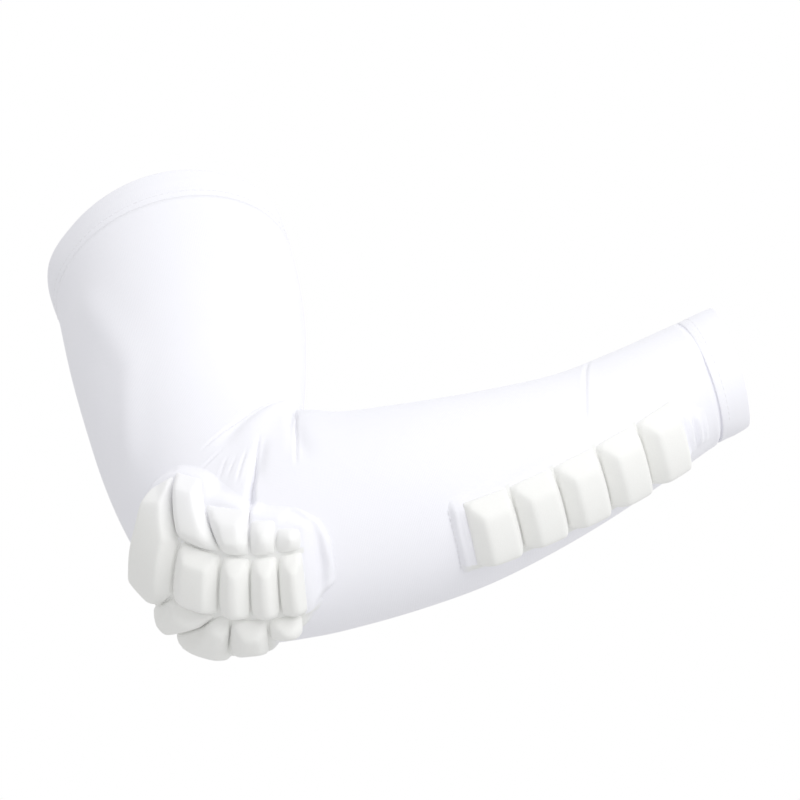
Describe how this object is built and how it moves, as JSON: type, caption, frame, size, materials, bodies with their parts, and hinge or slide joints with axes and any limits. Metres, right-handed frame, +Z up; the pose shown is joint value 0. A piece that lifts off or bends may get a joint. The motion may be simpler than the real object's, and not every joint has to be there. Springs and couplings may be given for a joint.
{
  "type": "padded elbow sleeve",
  "caption": "Stretch-knit arm sleeve shaped on a bent arm, with a hem at each end and chamfered foam pads sewn over the elbow and forearm.",
  "frame": {"origin": "the elbow's centre, where the upper arm's and the forearm's middle lines meet inside the sleeve", "axes": "+Z up the upper arm to the mouth, +X along the forearm to the wrist, -Y the outer side of the arm"},
  "size_m": [0.2762, 0.1052, 0.2343],
  "materials": {
    "knit": "matt white stretch knit",
    "pad_foam": "matt off-white moulded foam under thin cloth"
  },
  "bodies": {
    "root": {"mouth_hem": "knit", "knit_tube": "knit", "wrist_cuff": "knit", "elbow_panel": "knit", "forearm_panel": "knit", "elbow_pad_top": "pad_foam", "elbow_pad_centre_1": "pad_foam", "elbow_pad_outer_1": "pad_foam", "elbow_pad_inner_1": "pad_foam", "elbow_pad_centre_2": "pad_foam", "elbow_pad_outer_2": "pad_foam", "elbow_pad_inner_2": "pad_foam", "elbow_pad_centre_3": "pad_foam", "elbow_pad_outer_3": "pad_foam", "elbow_pad_inner_3": "pad_foam", "elbow_pad_centre_4": "pad_foam", "elbow_pad_outer_4": "pad_foam", "elbow_pad_inner_4": "pad_foam", "forearm_pad_1": "pad_foam", "forearm_pad_2": "pad_foam", "forearm_pad_3": "pad_foam", "forearm_pad_4": "pad_foam", "forearm_pad_5": "pad_foam"}
  },
  "joints": []
}
